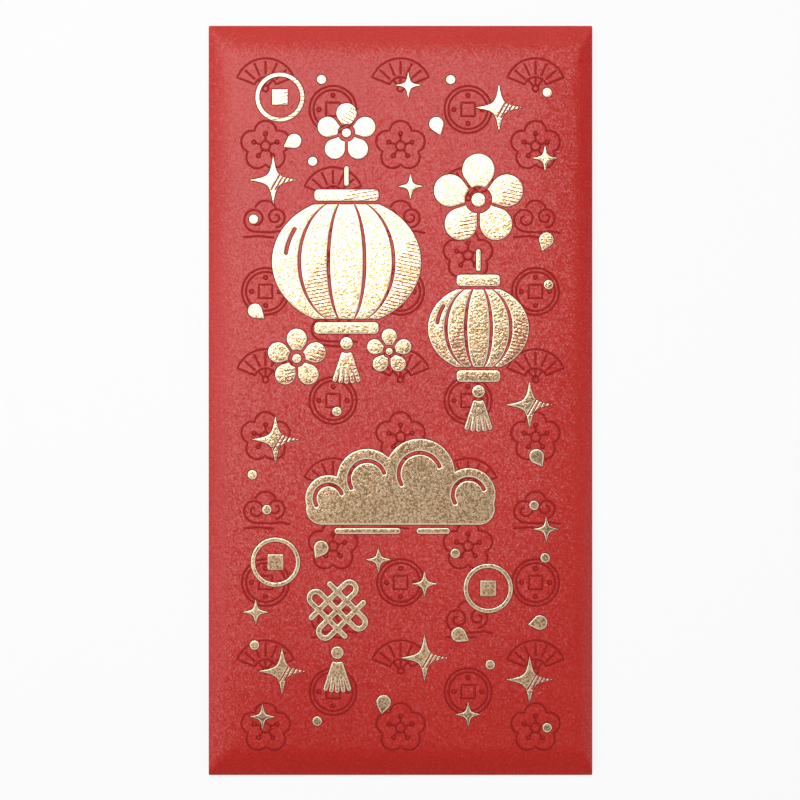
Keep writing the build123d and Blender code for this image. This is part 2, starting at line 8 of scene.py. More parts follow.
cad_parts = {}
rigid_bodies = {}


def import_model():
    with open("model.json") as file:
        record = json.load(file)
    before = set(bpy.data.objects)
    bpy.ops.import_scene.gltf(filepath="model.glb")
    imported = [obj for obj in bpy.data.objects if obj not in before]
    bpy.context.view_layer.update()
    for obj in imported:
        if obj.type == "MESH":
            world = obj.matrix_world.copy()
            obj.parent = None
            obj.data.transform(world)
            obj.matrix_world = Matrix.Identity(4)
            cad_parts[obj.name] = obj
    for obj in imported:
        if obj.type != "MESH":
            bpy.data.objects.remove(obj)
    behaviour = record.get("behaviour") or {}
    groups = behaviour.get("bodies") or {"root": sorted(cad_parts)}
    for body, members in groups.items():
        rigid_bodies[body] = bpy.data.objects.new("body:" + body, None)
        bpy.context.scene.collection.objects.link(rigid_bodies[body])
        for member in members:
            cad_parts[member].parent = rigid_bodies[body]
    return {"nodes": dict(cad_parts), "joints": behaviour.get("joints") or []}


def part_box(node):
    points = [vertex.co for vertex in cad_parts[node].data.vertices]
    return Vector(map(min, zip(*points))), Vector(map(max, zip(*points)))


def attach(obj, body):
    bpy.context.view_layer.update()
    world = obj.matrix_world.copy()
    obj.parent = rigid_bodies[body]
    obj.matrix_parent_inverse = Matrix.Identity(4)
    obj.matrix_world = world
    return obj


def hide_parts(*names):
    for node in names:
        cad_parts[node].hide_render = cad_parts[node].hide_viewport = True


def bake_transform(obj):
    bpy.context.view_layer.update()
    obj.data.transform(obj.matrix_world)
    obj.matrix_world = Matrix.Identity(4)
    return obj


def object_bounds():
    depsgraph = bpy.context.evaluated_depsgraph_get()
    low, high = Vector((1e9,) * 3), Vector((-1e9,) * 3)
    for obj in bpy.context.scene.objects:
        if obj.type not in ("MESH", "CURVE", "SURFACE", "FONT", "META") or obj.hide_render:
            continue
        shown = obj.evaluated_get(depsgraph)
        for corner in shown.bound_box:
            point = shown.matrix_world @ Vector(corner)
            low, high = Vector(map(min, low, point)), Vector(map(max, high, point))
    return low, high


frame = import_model()
nodes = frame["nodes"]
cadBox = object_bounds()
scene = bpy.context.scene
scene.view_settings.view_transform = "Standard"
mm = 0.001
tiny = 1e-9  # keeps divisions safe
print("frame loaded:", len(nodes), "nodes")


# sizes of the folded card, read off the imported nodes
frontLow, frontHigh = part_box("front_panel")
backLow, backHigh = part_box("back_panel")
tabLow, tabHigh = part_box("side_seam_tab")
closingLow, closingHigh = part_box("closing_flap")
bottomLow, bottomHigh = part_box("bottom_flap")
cardThickness = frontHigh.z - frontLow.z
frontTop = frontHigh.z
hinge = Vector(frame["joints"][0]["pos_m"])
creaseOuter = hinge.z  # outside radius of every scored fold
halfWidth = -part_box("left_crease")[0].x
halfHeight = hinge.y + creaseOuter
rollAngle = math.acos(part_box("flap_crease")[1].z / creaseOuter - 1)  # how far the front leans at its folds


# helpers for node trees
def setInputs(tree, node, values):
    # outputs of other nodes are linked, constants are set on the socket itself
    for socket, value in values.items():
        if hasattr(value, "is_output"):
            tree.links.new(value, node.inputs[socket])
        else:
            node.inputs[socket].default_value = value


def addNode(tree, kind, values=None, **settings):
    node = tree.nodes.new(kind)
    for key, value in settings.items():
        setattr(node, key, value)
    setInputs(tree, node, values or {})
    return node


def calculate(tree, operation, *terms, clamp=False):
    values = dict(enumerate(terms))
    return addNode(tree, "ShaderNodeMath", values, operation=operation, use_clamp=clamp).outputs[0]


def calculateVector(tree, operation, *terms):
    return addNode(tree, "ShaderNodeVectorMath", dict(enumerate(terms)), operation=operation).outputs[0]


def mixColour(tree, factor, first, second):
    return addNode(tree, "ShaderNodeMix", {0: factor, 6: first, 7: second}, data_type="RGBA").outputs[2]


def spread(tree, value, low, high, fromLow=0.0, fromHigh=1.0):
    values = {"Value": value, "From Min": fromLow, "From Max": fromHigh, "To Min": low, "To Max": high}
    return addNode(tree, "ShaderNodeMapRange", values).outputs[0]


def newMaterial(name):
    material = bpy.data.materials.new(name)
    material.use_nodes = True
    tree = material.node_tree
    return material, tree, tree.nodes["Principled BSDF"]


def objectPlace(tree):
    return addNode(tree, "ShaderNodeTexCoord").outputs["Object"]


def noise(tree, place, scale, detail):
    return addNode(tree, "ShaderNodeTexNoise", {"Vector": place, "Scale": scale, "Detail": detail}).outputs[0]


def toneOf(tree, level, settings):
    # stretches the middle of a noise to the whole way between two colours
    return spread(tree, level, 0.0, 1.0, settings["toneLow"], settings["toneHigh"])


def flakeNormal(tree, cellColour, tilt):
    # each flake leans its own way, so the gloss glitters
    centred = calculateVector(tree, "SUBTRACT", cellColour, (0.5, 0.5, 0.5))
    leaned = addNode(tree, "ShaderNodeVectorMath", {0: centred, "Scale": tilt}, operation="SCALE").outputs[0]
    facing = addNode(tree, "ShaderNodeNewGeometry").outputs["Normal"]
    return calculateVector(tree, "NORMALIZE", calculateVector(tree, "ADD", facing, leaned))


pearl = {
    "deepRed": (0.478, 0.008, 0.004, 1),
    "brightRed": (0.572, 0.020, 0.011, 1),
    "toneLow": 0.34,
    "toneHigh": 0.66,
    "grainScale": 2900.0,
    "grainDetail": 3.0,
    "cloudScale": 30.0,
    "cloudDetail": 4.0,
    "cloudShare": 0.3,
    "flakeScale": 3500.0,
    "flakeTilt": 0.31,
    "fleckPink": (0.61, 0.060, 0.045, 1),
    "fleckShare": 0.10,
    "fleckStrength": 0.55,
    "roughLow": 0.32,
    "roughHigh": 0.41,
    "toothStrength": 0.25,
    "toothDepth": 0.02 * mm,
    "gloss": 1.52,
}


def pearlCard():
    material, tree, shader = newMaterial("pearlCard")
    place = objectPlace(tree)
    cells = addNode(tree, "ShaderNodeTexVoronoi", {"Vector": place, "Scale": pearl["flakeScale"]})
    flakes = cells.outputs["Color"]
    grain = noise(tree, place, pearl["grainScale"], pearl["grainDetail"])
    cloud = noise(tree, place, pearl["cloudScale"], pearl["cloudDetail"])
    clouded = addNode(tree, "ShaderNodeMix", {0: pearl["cloudShare"], 2: grain, 3: cloud}).outputs[0]
    red = mixColour(tree, toneOf(tree, clouded, pearl), pearl["deepRed"], pearl["brightRed"])
    chance = addNode(tree, "ShaderNodeSeparateColor", {0: flakes}).outputs[0]
    fleck = spread(tree, chance, 0.0, pearl["fleckStrength"], 1 - pearl["fleckShare"])
    tooth = addNode(tree, "ShaderNodeBump", {
        "Height": grain,
        "Normal": flakeNormal(tree, flakes, pearl["flakeTilt"]),
        "Strength": pearl["toothStrength"],
        "Distance": pearl["toothDepth"],
    })
    setInputs(tree, shader, {
        "Base Color": mixColour(tree, fleck, red, pearl["fleckPink"]),
        "Roughness": spread(tree, grain, pearl["roughLow"], pearl["roughHigh"]),
        "Normal": tooth.outputs[0],
        "IOR": pearl["gloss"],
    })
    return material


inside = {
    "pale": (0.74, 0.68, 0.60, 1),
    "shade": (0.62, 0.55, 0.47, 1),
    "toneLow": 0.35,
    "toneHigh": 0.65,
    "fibreScale": 900.0,
    "fibreDetail": 5.0,
    "fibreStretch": (1.0, 0.25, 1.0),
    "toothStrength": 0.3,
    "toothDepth": 0.03 * mm,
    "roughness": 0.82,
}


def cardInside():
    material, tree, shader = newMaterial("cardInside")
    place = objectPlace(tree)
    stretched = addNode(tree, "ShaderNodeMapping", {"Vector": place, "Scale": inside["fibreStretch"]})
    fibre = noise(tree, stretched.outputs[0], inside["fibreScale"], inside["fibreDetail"])
    tooth = addNode(tree, "ShaderNodeBump", {
        "Height": fibre,
        "Strength": inside["toothStrength"],
        "Distance": inside["toothDepth"],
    })
    setInputs(tree, shader, {
        "Base Color": mixColour(tree, toneOf(tree, fibre, inside), inside["shade"], inside["pale"]),
        "Roughness": inside["roughness"],
        "Normal": tooth.outputs[0],
    })
    return material


cutEdge = {
    "core": (0.66, 0.42, 0.36, 1),
    "dyed": (0.50, 0.12, 0.10, 1),
    "toneLow": 0.35,
    "toneHigh": 0.7,
    "fibreScale": 3000.0,
    "fibreDetail": 4.0,
    "roughness": 0.9,
}


def cardEdge():
    material, tree, shader = newMaterial("cardEdge")
    place = objectPlace(tree)
    fibre = noise(tree, place, cutEdge["fibreScale"], cutEdge["fibreDetail"])
    setInputs(tree, shader, {
        "Base Color": mixColour(tree, toneOf(tree, fibre, cutEdge), cutEdge["dyed"], cutEdge["core"]),
        "Roughness": cutEdge["roughness"],
    })
    return material


foilMarks = ("rim", "hatch", "hatchAcross")  # what each point of the foil carries for its finish; rim is the mask of the painted rim highlight
foilFinish = {
    "pale": (1.0, 0.71, 0.45, 1),
    "deep": (0.50, 0.285, 0.125, 1),
    "toneLow": 0.38,
    "toneHigh": 0.56,
    "rimCream": (1.0, 0.86, 0.62, 1),
    "rimShare": 0.85,
    "rimReach": 2.4,
    "open": (0.33, 0.012, 0.010, 1),
    "openRough": 0.3,
    "hatchFrom": 0.5,
    "hatchShare": 0.30,
    "crackScale": 5200.0,
    "crackDetail": 4.0,
    "crackLow": 0.3,
    "crackHigh": 0.7,
    "roughLow": 0.14,
    "roughHigh": 0.22,
    "grainScale": 2000.0,
    "grainDetail": 2.0,
    "grainRise": 0.045 * mm,
}


def goldFoil():
    # hatched parts are open down to the card between fine strokes, and the rim is painted pale cream as a
    # highlight that shows on every side
    material, tree, shader = newMaterial("goldFoil")
    place = objectPlace(tree)
    crack = noise(tree, place, foilFinish["crackScale"], foilFinish["crackDetail"])
    grain = noise(tree, place, foilFinish["grainScale"], foilFinish["grainDetail"])
    metal = mixColour(tree, toneOf(tree, grain, foilFinish), foilFinish["deep"], foilFinish["pale"])
    edge, hatch, across = [addNode(tree, "ShaderNodeAttribute", attribute_name=mark).outputs["Fac"]
                           for mark in foilMarks]
    # painted highlight: the rim is coloured cream and made less metallic, so it looks bright from every side
    rim = calculate(tree, "MULTIPLY", edge, foilFinish["rimReach"], clamp=True)
    rimHighlighted = mixColour(tree, rim, metal, foilFinish["rimCream"])
    gap = calculate(tree, "LESS_THAN", calculate(tree, "FRACT", across), foilFinish["hatchShare"])
    inner = calculate(tree, "GREATER_THAN", hatch, foilFinish["hatchFrom"])
    bare = calculate(tree, "MULTIPLY", gap, inner)
    metalOutsideHighlight = calculate(tree, "MULTIPLY_ADD", rim, -foilFinish["rimShare"], 1.0)
    worn = spread(tree, crack, foilFinish["roughHigh"], foilFinish["roughLow"],
                  foilFinish["crackLow"], foilFinish["crackHigh"])
    pits = addNode(tree, "ShaderNodeBump", {
        "Height": grain,
        "Strength": 1.0,
        "Distance": foilFinish["grainRise"],
    })
    setInputs(tree, shader, {
        "Base Color": mixColour(tree, bare, rimHighlighted, foilFinish["open"]),
        "Metallic": calculate(tree, "SUBTRACT", metalOutsideHighlight, bare, clamp=True),
        "Roughness": calculate(tree, "MULTIPLY_ADD", bare, foilFinish["openRough"], worn),
        "Normal": pits.outputs[0],
    })
    return material


# the two edge colours are painted shade, the dark line round each foil edge; the tonal colours are print
ink = {
    "keyDark": (0.16, 0.012, 0.008, 1),
    "keyLight": (0.24, 0.018, 0.012, 1),
    "tonalDark": (0.31, 0.005, 0.003, 1),
    "tonalLight": (0.39, 0.009, 0.006, 1),
    "toneLow": 0.35,
    "toneHigh": 0.65,
    "grainScale": 4200.0,
    "grainDetail": 3.0,
    "roughLow": 0.55,
    "roughHigh": 0.7,
    "gloss": 1.36,
}


def printedInkAndShade(name, dark, light):
    material, tree, shader = newMaterial(name)
    place = objectPlace(tree)
    grain = noise(tree, place, ink["grainScale"], ink["grainDetail"])
    setInputs(tree, shader, {
        "Base Color": mixColour(tree, toneOf(tree, grain, ink), dark, light),
        "Roughness": spread(tree, grain, ink["roughLow"], ink["roughHigh"]),
        "IOR": ink["gloss"],
    })
    return material


glueFinish = {
    "clear": (0.72, 0.62, 0.46, 1),
    "cloudy": (0.80, 0.74, 0.62, 1),
    "streakScale": 260.0,
    "streakDetail": 5.0,
    "roughLow": 0.25,
    "roughHigh": 0.5,
}


def driedGlue():
    material, tree, shader = newMaterial("driedGlue")
    place = objectPlace(tree)
    streak = noise(tree, place, glueFinish["streakScale"], glueFinish["streakDetail"])
    setInputs(tree, shader, {
        "Base Color": mixColour(tree, streak, glueFinish["clear"], glueFinish["cloudy"]),
        "Roughness": spread(tree, streak, glueFinish["roughLow"], glueFinish["roughHigh"]),
    })
    return material


pearlRed = pearlCard()
insidePale = cardInside()
edgePale = cardEdge()
gold = goldFoil()
# the line round the foil is painted shade of its pressed edge, the tonal lines are print
keyInk = printedInkAndShade("keyInk", ink["keyDark"], ink["keyLight"])
tonalInk = printedInkAndShade("tonalInk", ink["tonalDark"], ink["tonalLight"])
glue = driedGlue()
print("materials made")


# outer line of the folded card
def rollSizes(base, halfSpan):
    rise = frontTop - base - creaseOuter * (1 + math.cos(rollAngle))
    radius = rise / (1 - math.cos(rollAngle))
    creaseAt = halfSpan - creaseOuter
    rollAt = creaseAt - (radius - creaseOuter) * math.sin(rollAngle)
    return radius, rollAt, creaseAt


def edgeDrop(reach, base, halfSpan):
    # how far the outside lies below the flat front, at a distance from the middle line
    radius, rollAt, creaseAt = rollSizes(base, halfSpan)
    onRoll = np.clip(reach - rollAt, 0, radius * math.sin(rollAngle))
    rollDrop = radius - np.sqrt(radius ** 2 - onRoll ** 2)
    onCrease = np.clip(reach - creaseAt, -creaseOuter, creaseOuter)
    creaseDrop = frontTop - base - creaseOuter - np.sqrt(creaseOuter ** 2 - onCrease ** 2)
    pastRoll = reach > creaseAt + creaseOuter * math.sin(rollAngle)
    return np.where(pastRoll, creaseDrop, rollDrop)


press = {
    "crown": 1.10 * mm,
    "ripple": 0.10 * mm,
    "left": 14 * mm,  # how far from each edge the card is still rising
    "right": 15 * mm,
    "foot": 30 * mm,
    "head": 16 * mm,
    "mitre": 8,  # higher makes the corners between two rolls crisper
    "waves": (  # length across, length along, phase, share of the ripple
        (70 * mm, 140 * mm, 0.7, 0.5),
        (46 * mm, -95 * mm, 2.1, 0.35),
        (230 * mm, 61 * mm, 0.4, 0.25),
    ),
}


def unevenness(x, y):
    # slow swell of a pressed card, gone at the folds
    endEdge = halfHeight - creaseOuter * (1 - math.sin(rollAngle))
    fromSide = np.where(x < 0, (halfWidth + x) / press["left"], (halfWidth - x) / press["right"])
    fromEnd = np.where(y < 0, (endEdge + y) / press["foot"], (endEdge - y) / press["head"])
    fade = np.sin(math.pi / 2 * np.clip(fromSide, 0, 1)) * np.sin(math.pi / 2 * np.clip(fromEnd, 0, 1))
    swell = sum(share * np.sin(2 * math.pi * (x / acrossLength + y / alongLength) + phase)
                for acrossLength, alongLength, phase, share in press["waves"])
    return fade * (press["crown"] + press["ripple"] * swell)


def frontHeight(x, y):
    left = edgeDrop(-x, backLow.z, halfWidth)
    right = edgeDrop(x, tabLow.z, halfWidth)
    sideDrop = np.where(x < 0, left, right)
    endDrop = edgeDrop(np.abs(y), closingLow.z, halfHeight)
    power = press["mitre"]
    return frontTop - (sideDrop ** power + endDrop ** power) ** (1 / power) + unevenness(x, y)


sheet = {
    "flatStep": 1.4 * mm,
    "rollSteps": 9,
    "creaseSteps": 5,
    "sharpAngle": math.radians(40),
    "mouthRadius": 4 * mm,
    "tabTaper": 5 * mm,
}


def edgeReach(base, halfSpan, withCrease):
    # distances from the middle, closer together round the bends
    radius, rollAt, creaseAt = rollSizes(base, halfSpan)
    bend = np.linspace(0, rollAngle, sheet["rollSteps"] + 1)
    reach = list(rollAt + radius * np.sin(bend))
    if withCrease:
        turn = np.linspace(rollAngle, math.pi / 2, sheet["creaseSteps"] + 1)[1:]
        reach += list(creaseAt + creaseOuter * np.sin(turn))
    return np.array(reach)


def flatSteps(start, end):
    count = max(2, math.ceil(abs(end - start) / sheet["flatStep"]))
    return np.linspace(start, end, count + 1)


def smoothMesh(name, points, faces, materials, faceMaterial=None):
    mesh = bpy.data.meshes.new(name)
    mesh.from_pydata([tuple(p) for p in points], [], [tuple(int(v) for v in f) for f in faces])
    for material in materials:
        mesh.materials.append(material)
    if faceMaterial is not None:
        mesh.polygons.foreach_set("material_index", np.asarray(faceMaterial, dtype=np.int32))
    mesh.shade_smooth()
    mesh.set_sharp_from_angle(angle=sheet["sharpAngle"])
    mesh.update()
    piece = bpy.data.objects.new(name, mesh)
    scene.collection.objects.link(piece)
    return piece


def cardPiece(name, outer):
    # gives a grid of outside points the card's thickness, with a pale inside and cut edges
    rows, columns = outer.shape[:2]
    points = outer.reshape(-1, 3)
    count = len(points)
    index = np.arange(count).reshape(rows, columns)
    corners = [index[:-1, :-1], index[:-1, 1:], index[1:, 1:], index[1:, :-1]]
    quads = np.stack(corners, axis=-1).reshape(-1, 4)
    skin = bpy.data.meshes.new("skin")
    skin.from_pydata([tuple(p) for p in points], [], [tuple(int(v) for v in q) for q in quads])
    normals = np.array([n.vector for n in skin.vertex_normals])
    bpy.data.meshes.remove(skin)
    border = np.concatenate([index[0, :-1], index[:-1, -1], index[-1, :0:-1], index[:0:-1, 0]])
    ahead = np.roll(border, -1)
    rim = np.stack([ahead, border, border + count, ahead + count], axis=-1)
    faces = np.concatenate([quads, quads[:, ::-1] + count, rim])
    kinds = [0] * len(quads) + [1] * len(quads) + [2] * len(rim)
    return smoothMesh(name, np.concatenate([points, points - cardThickness * normals]), faces,
                      (pearlRed, insidePale, edgePale), kinds)


def mouthHeight(x):
    # top edge of the back panel, rounded at its free corner
    radius = sheet["mouthRadius"]
    past = np.clip(x - (backHigh.x - radius), 0, radius)
    return backHigh.y - radius + np.sqrt(radius ** 2 - past ** 2)


def outerLine(x, y, z):
    # one line of outside points; what stays the same along it is one number
    return np.stack(np.broadcast_arrays(x, y, z), axis=-1)


def pocketSheet():
    # one sheet: back panel, left fold, front with its rolled margins, right fold, seam tab
    endReach = edgeReach(closingLow.z, halfHeight, False)
    rowsY = np.concatenate([-endReach[::-1], flatSteps(-endReach[0], endReach[0])[1:-1], endReach])
    end = endReach[-1]
    share = (rowsY + end) / (2 * end)
    leftReach = edgeReach(backLow.z, halfWidth, True)
    rightReach = edgeReach(tabLow.z, halfWidth, True)
    frontX = np.concatenate([-leftReach[::-1], flatSteps(-leftReach[0], rightReach[0])[1:-1], rightReach])
    foldX = halfWidth - creaseOuter
    lower = np.linspace(math.pi, math.pi / 2, sheet["creaseSteps"] + 1)[1:-1]

    def foldLine(side, angle, base, lowEnd, highEnd):
        ease = (angle - math.pi / 2) / (math.pi / 2)
        widest = frontHeight(np.full_like(rowsY, side * halfWidth), rowsY)
        low = -end + ease * (lowEnd + end)
        high = end + ease * (highEnd - end)
        z = base + (1 + math.cos(angle)) * (widest - base)
        return outerLine(side * (foldX + creaseOuter * math.sin(angle)), low + share * (high - low), z)

    lines = []
    for x in flatSteps(backHigh.x, -foldX):
        lines.append(outerLine(x, backLow.y + share * (mouthHeight(x) - backLow.y), backLow.z))
    for angle in lower:
        lines.append(foldLine(-1, angle, backLow.z, backLow.y, backHigh.y))
    for x in frontX:
        lines.append(outerLine(x, rowsY, frontHeight(np.full_like(rowsY, x), rowsY)))
    for angle in lower[::-1]:
        lines.append(foldLine(1, angle, tabLow.z, tabLow.y, tabHigh.y))
    for x in flatSteps(foldX, tabLow.x):
        halfTab = tabHigh.y - sheet["tabTaper"] * (foldX - x) / (foldX - tabLow.x)
        lines.append(outerLine(x, (2 * share - 1) * halfTab, tabLow.z))
    return cardPiece("pocketSheet", np.stack(lines, axis=1))


flaps = {
    "closingNarrow": 37 * mm,
    "closingCorner": 7 * mm,
    "bottomNarrow": 35 * mm,
    "bottomCorner": 3 * mm,
    "foldGap": 0.1 * mm,
    "foldPoints": 15,
    "cornerSteps": 8,
    "bendPast": 0.2 * mm,  # for a bend of the closing flap past its hinge, above the ground; not used
    "bendLevel": 0.86 * mm,
}


def flapSheet(name, side, near, far, narrow, cornerRadius):
    # a flap that goes on from the front over its fold: near and far are read off its node
    depth = abs(near - far)
    wide = closingHigh.x
    slope = (wide - narrow) / depth
    cornerAt = depth - cornerRadius
    cornerX = wide - slope * cornerAt - cornerRadius * math.hypot(1, slope)
    tangent = cornerAt + cornerRadius * slope / math.hypot(1, slope)
    flare = halfWidth - flaps["foldGap"] - wide  # the fold itself runs out to the corners
    rowLines = []
    for a in np.linspace(rollAngle, math.pi, flaps["foldPoints"]):
        rowLines.append((wide + flare * min(1, 2 - 2 * a / math.pi), hinge.y + creaseOuter * math.sin(a),
                         creaseOuter * (1 + math.cos(a))))
    start = hinge.y - near
    for v in flatSteps(start, start + tangent)[1:]:
        rowLines.append((wide - slope * (v - start), hinge.y - v, 0.0))
    cornerStart = math.asin((tangent - cornerAt) / cornerRadius)
    for a in np.linspace(cornerStart, math.pi / 2, flaps["cornerSteps"] + 1)[1:]:
        rowLines.append((cornerX + cornerRadius * math.cos(a),
                         hinge.y - start - cornerAt - cornerRadius * math.sin(a), 0.0))
    across = np.linspace(-1, 1, 2 * math.ceil(wide / sheet["flatStep"]) + 1)
    rows = [outerLine(side * across * half, side * y, z) for half, y, z in rowLines]
    return cardPiece(name, np.stack(rows, axis=0))


pocket = pocketSheet()
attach(pocket, "pocket")
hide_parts("front_panel", "left_roll", "right_roll", "top_roll", "bottom_roll", "left_crease",
            "right_crease", "back_panel", "side_seam_tab")
bottomFlap = flapSheet("bottomFlapSheet", -1, -bottomLow.y, -bottomHigh.y, flaps["bottomNarrow"],
                       flaps["bottomCorner"])
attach(bottomFlap, "pocket")
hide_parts("bottom_crease", "bottom_flap")
closingFlap = flapSheet("closingFlapSheet", 1, closingHigh.y, closingLow.y, flaps["closingNarrow"],
                        flaps["closingCorner"])
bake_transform(closingFlap)
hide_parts("flap_crease", "closing_flap")
for name in ("side_seam_glue", "bottom_seam_glue"):
    nodes[name].data.materials.clear()
    nodes[name].data.materials.append(glue)
print("card folded:", len(pocket.data.polygons), "faces in the pocket")


# stamped foil: the outlines of the CAD islands, with a rounded rim pressed onto the swell of the card
stamp = {
    "rise": 0.06 * mm,
    "rim": 0.34 * mm,
    "rimSteps": 3,
    "rimRoom": 0.6,  # share of the room beside an edge that its rim may take
    "sink": 0.03 * mm,
    "edgeStep": 0.30 * mm,
    "fillStep": 1.1 * mm,
    "fillClear": 1.5,  # rim widths kept free of inner points
    "fillSlack": 1e-7,
    "openRoom": 1.0,  # room where no edge lies opposite
    "weld": 0.0001 * mm,
    "topBand": 0.01 * mm,
    "keyWidth": 0.20 * mm,
    "keyRoom": 0.45,
    "keyTuck": 0.3,  # share of the hair line's width that lies under the foil
    "keyRise": 0.010 * mm,
    "hatchArea": 14 * mm ** 2,
    "hatchEvery": 3,
    "hatchPitch": 0.80 * mm,
    "hatchTurns": (100, 78, 60, 112),
    "hatchSide": (0.8, -0.6),
    "hatchInside": 0.5,
}


def evenLoop(loop):
    even = []
    for a, b in zip(loop, np.roll(loop, -1, axis=0)):
        count = max(1, math.ceil(np.linalg.norm(b - a) / stamp["edgeStep"]))
        even.extend(a + (b - a) * k / count for k in range(count))
    return np.array(even)


def islandLoops(node):
    # closed outlines of a node's top faces, with the foil on the left of each
    mesh = nodes[node].data
    points = np.array([v.co for v in mesh.vertices])
    keys, same = np.unique(np.round(points / stamp["weld"]).astype(np.int64), axis=0, return_inverse=True)
    same = same.reshape(-1)
    spots = np.zeros((len(keys), 2))
    spots[same] = points[:, :2]
    onTop = points[:, 2] > points[:, 2].max() - stamp["topBand"]
    sides = set()
    for face in mesh.polygons:
        if all(onTop[v] for v in face.vertices):
            ring = [int(same[v]) for v in face.vertices]
            sides.update(zip(ring, ring[1:] + ring[:1]))
    following = {a: b for a, b in sorted(sides) if (b, a) not in sides}
    loops = []
    while following:
        start = min(following)
        here = following.pop(start)
        loop = [start]
        while here != start:
            loop.append(here)
            here = following.pop(here)
        loops.append(evenLoop(spots[loop]))
    return loops


def inward(loop):
    ahead = np.roll(loop, -1, axis=0) - loop
    ahead /= np.linalg.norm(ahead, axis=1, keepdims=True)
    mean = ahead + np.roll(ahead, 1, axis=0)
    mean /= np.linalg.norm(mean, axis=1, keepdims=True) + tiny
    return np.stack([-mean[:, 1], mean[:, 0]], axis=-1)


def roomBeside(points, directions):
    # radius of the largest circle that touches each outline point on that side
    away = points[None] - points[:, None]
    along = np.einsum("ijk,ik->ij", away, directions)
    radius = np.where(along > tiny, (away ** 2).sum(-1) / np.maximum(2 * along, tiny), stamp["openRoom"])
    return radius.min(axis=1)


def contains(loops, spots):
    # even and odd crossings of a ray along +X
    within = np.zeros(len(spots), bool)
    for loop in loops:
        for (ax, ay), (bx, by) in zip(loop, np.roll(loop, -1, axis=0)):
            if ay != by:
                crossing = (spots[:, 1] < ay) != (spots[:, 1] < by)
                within ^= crossing & (spots[:, 0] < ax + (spots[:, 1] - ay) * (bx - ax) / (by - ay))
    return within


def loopArea(loop):
    ahead = np.roll(loop, -1, axis=0)
    return 0.5 * float((loop[:, 0] * ahead[:, 1] - ahead[:, 0] * loop[:, 1]).sum())


def fillLoops(loops, extra):
    # triangles between closed loops, holes left open, over the loops' own points and the extra ones
    spots = np.concatenate(loops + [extra])
    edges, start = [], 0
    for loop in loops:
        edges += [(start + k, start + (k + 1) % len(loop)) for k in range(len(loop))]
        start += len(loop)
    scaled = (spots - spots.mean(axis=0)) / mm
    result = delaunay_2d_cdt([Vector(p) for p in scaled], edges, [], 0, stamp["fillSlack"])
    source = [origin[0] if origin else -1 for origin in result[3]]
    triangles = np.array([[source[v] for v in face] for face in result[2] if len(face) == 3])
    triangles = triangles[(triangles >= 0).all(axis=1)]
    kept = triangles[contains(loops, spots[triangles].mean(axis=1))]
    first, second, third = np.moveaxis(spots[kept], 1, 0)
    aside, beyond = second - first, third - first
    turned = aside[:, 0] * beyond[:, 1] - aside[:, 1] * beyond[:, 0] < 0
    kept[turned] = kept[turned][:, ::-1]
    return kept


def islandsOf(loops):
    outers = [loop for loop in loops if loopArea(loop) > 0]
    holes = [loop for loop in loops if loopArea(loop) <= 0]
    return [[outer] + [hole for hole in holes if contains([outer], hole[:1])[0]] for outer in outers]


def interiorPoints(loops):
    # a grid of points well inside the rim
    step = stamp["fillStep"]
    low = loops[0].min(axis=0) + step / 2
    high = loops[0].max(axis=0)
    gridX, gridY = np.meshgrid(np.arange(low[0], high[0], step), np.arange(low[1], high[1], step))
    spots = np.stack([gridX.ravel(), gridY.ravel()], axis=-1)
    edge = np.concatenate(loops)
    clear = stamp["fillClear"] * stamp["rim"]
    far = [p for p in spots[contains(loops, spots)] if np.linalg.norm(edge - p, axis=1).min() > clear]
    return np.array(far).reshape(-1, 2)


def laidOn(spots, lift):
    return np.column_stack([spots, frontHeight(spots[:, 0], spots[:, 1]) + lift])


def foilIsland(loops, hatchTurn):
    # points, faces and finish of one closed island
    edge = np.concatenate(loops)
    lean = np.concatenate([inward(loop) for loop in loops])
    inset = np.minimum(stamp["rim"], stamp["rimRoom"] * roomBeside(edge, lean))
    count = len(edge)
    cuts = np.cumsum([len(loop) for loop in loops])[:-1]
    ahead = np.concatenate([np.roll(run, -1) for run in np.split(np.arange(count), cuts)])
    rings = [laidOn(edge, -stamp["sink"])]
    for k in range(stamp["rimSteps"] + 1):
        deep = inset * (1 - math.cos(math.pi / 2 * k / stamp["rimSteps"]))
        lift = stamp["rise"] * np.sqrt(1 - (1 - deep / stamp["rim"]) ** 2)
        rings.append(laidOn(edge + lean * deep[:, None], lift))
    faces = []
    for k in range(len(rings) - 1):
        low, high = k * count, (k + 1) * count
        faces += [(low + a, low + b, high + b, high + a) for a, b in enumerate(ahead)]
    extra = interiorPoints(loops)
    topStart = (len(rings) - 1) * count
    top = fillLoops(np.split(rings[-1][:, :2], cuts), extra)
    faces += [tuple(topStart + v for v in face) for face in top]
    faces += [tuple(face[::-1]) for face in fillLoops(loops, np.zeros((0, 2)))]
    points = np.concatenate(rings + [laidOn(extra, stamp["rise"])])
    # rim runs from 1 at the edge to 0 inside, the mask of the painted rim highlight
    fall = np.linspace(-1 / stamp["rimSteps"], 1, len(rings)).clip(0, 1)
    rim = np.concatenate([np.repeat(1 - fall, count), np.zeros(len(extra))])
    finish = np.zeros((len(points), len(foilMarks)))
    finish[:, 0] = rim
    if hatchTurn is not None:
        a = math.radians(hatchTurn)
        beside = (points[:, :2] - edge.mean(axis=0)) @ np.array(stamp["hatchSide"]) > 0
        finish[:, 1] = beside * (rim < stamp["hatchInside"])
        finish[:, 2] = (points[:, 0] * math.cos(a) + points[:, 1] * math.sin(a)) / stamp["hatchPitch"]
    return points, faces, finish


def joined(parts):
    faces, start = [], 0
    for part in parts:
        faces += [tuple(start + v for v in face) for face in part[1]]
        start += len(part[0])
    return np.concatenate([part[0] for part in parts]), faces


def hatched(islands):
    # every few of the larger islands get a stroke direction, the others none
    large = [k for k, island in enumerate(islands) if sum(map(loopArea, island)) > stamp["hatchArea"]]
    chosen = large[1::stamp["hatchEvery"]]
    turns = stamp["hatchTurns"]
    return [turns[chosen.index(k) % len(turns)] if k in chosen else None for k in range(len(islands))]


